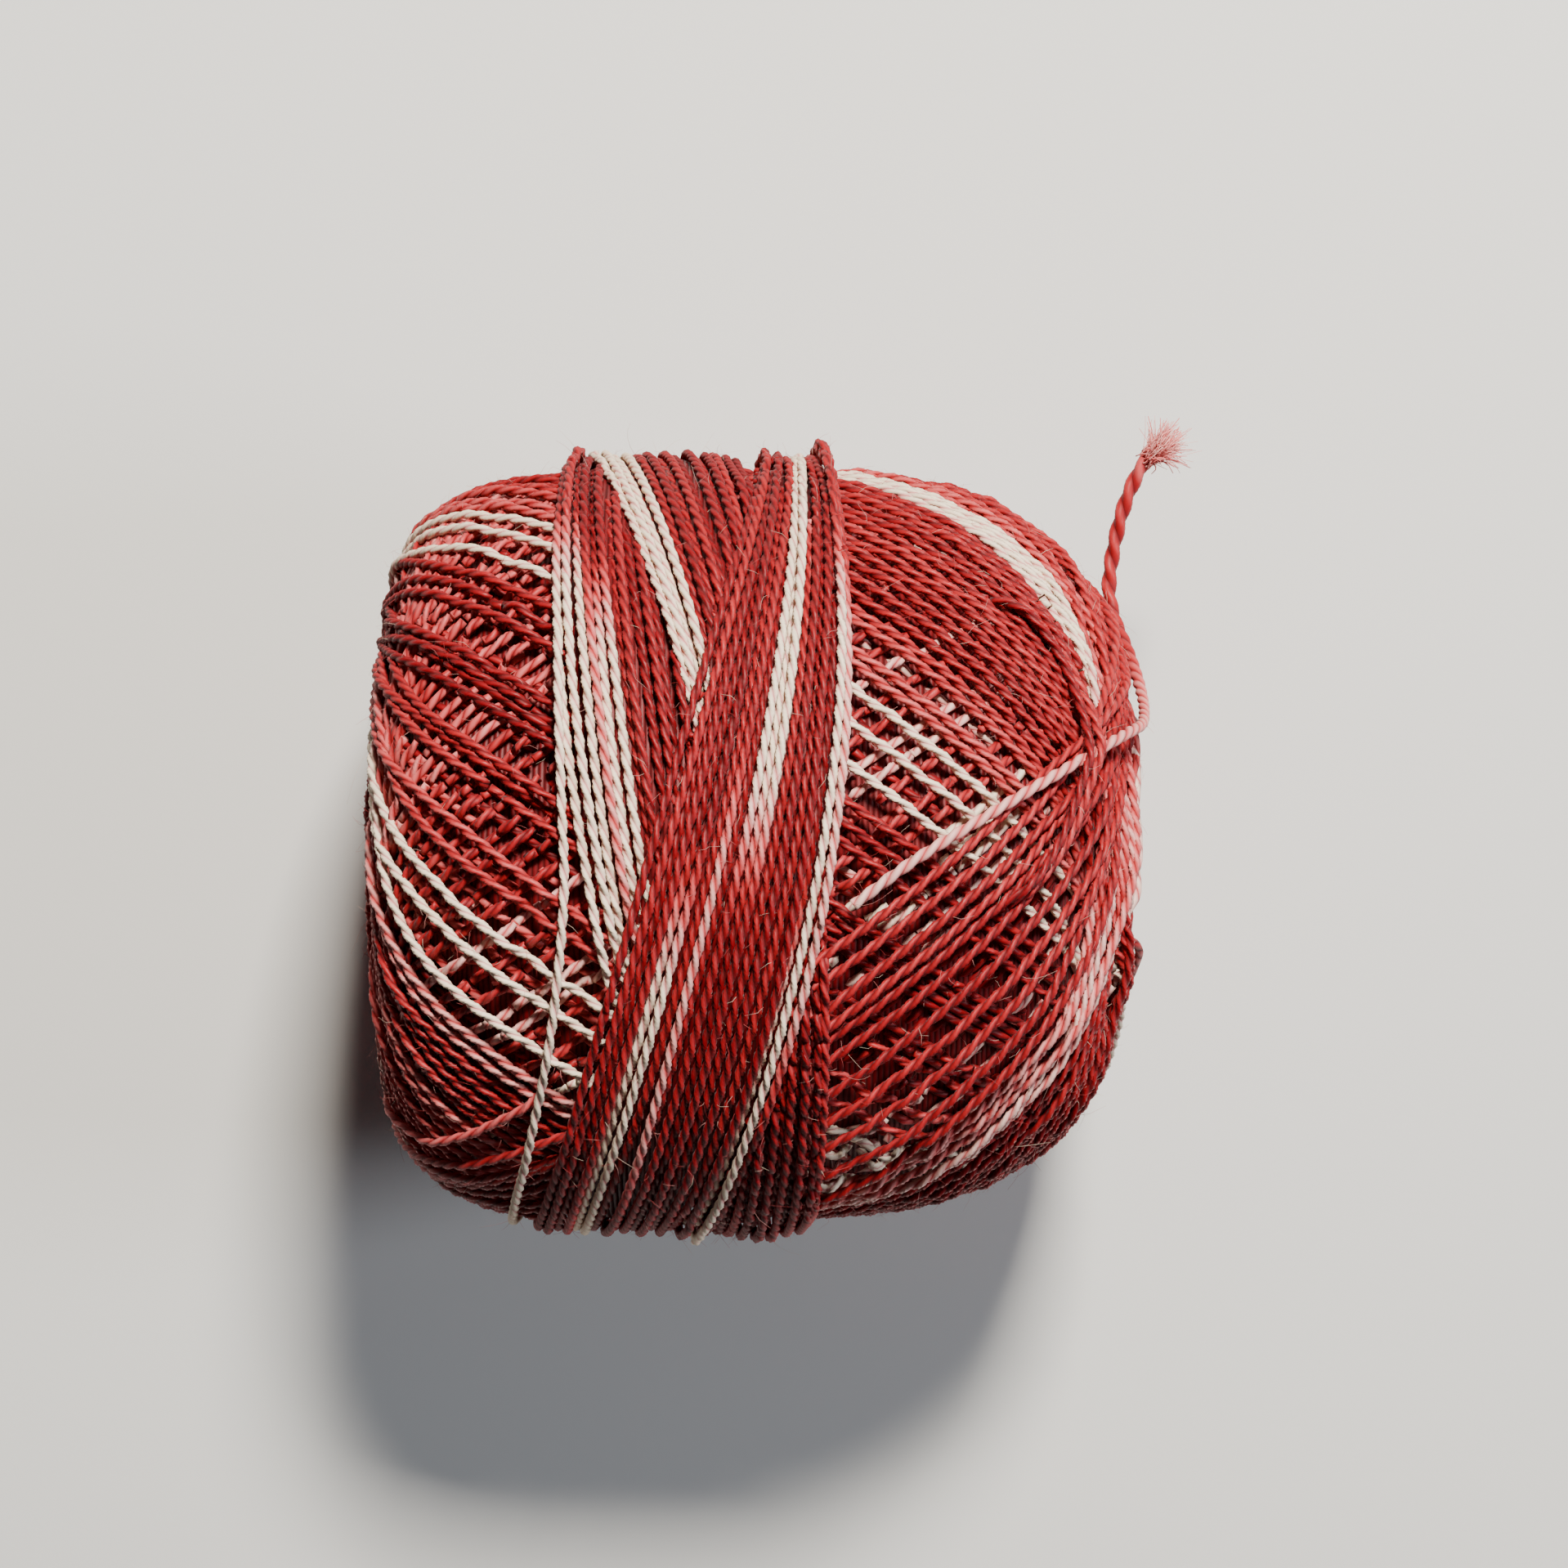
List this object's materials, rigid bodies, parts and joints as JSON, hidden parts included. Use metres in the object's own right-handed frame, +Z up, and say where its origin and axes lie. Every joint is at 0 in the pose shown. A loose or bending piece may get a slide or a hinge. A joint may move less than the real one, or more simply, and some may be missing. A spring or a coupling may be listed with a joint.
{
  "type": "ball of pearl cotton",
  "caption": "Small barrel-shaped ball of two-ply cotton thread, cross-wound with a raised belt round its middle, lying on its side with a loose frayed end.",
  "frame": {"origin": "middle of the flat spot that the ball rests on, straight below the middle of the winding axis", "axes": "+X along the axis the ball is wound about, towards the end with the loose thread; +Y away from the viewer, the way the loose thread points; +Z up"},
  "size_m": [0.0454, 0.0464, 0.0439],
  "materials": {
    "pearl_cotton": "silky mercerised two-ply cotton, dyed in lengths of deep red, coral, pink and cream",
    "frayed_cotton": "loosened cotton fibres, matt, pink"
  },
  "bodies": {
    "root": {"wound_ball": "pearl_cotton", "loose_end": "pearl_cotton", "frayed_tip": "frayed_cotton"}
  },
  "joints": []
}
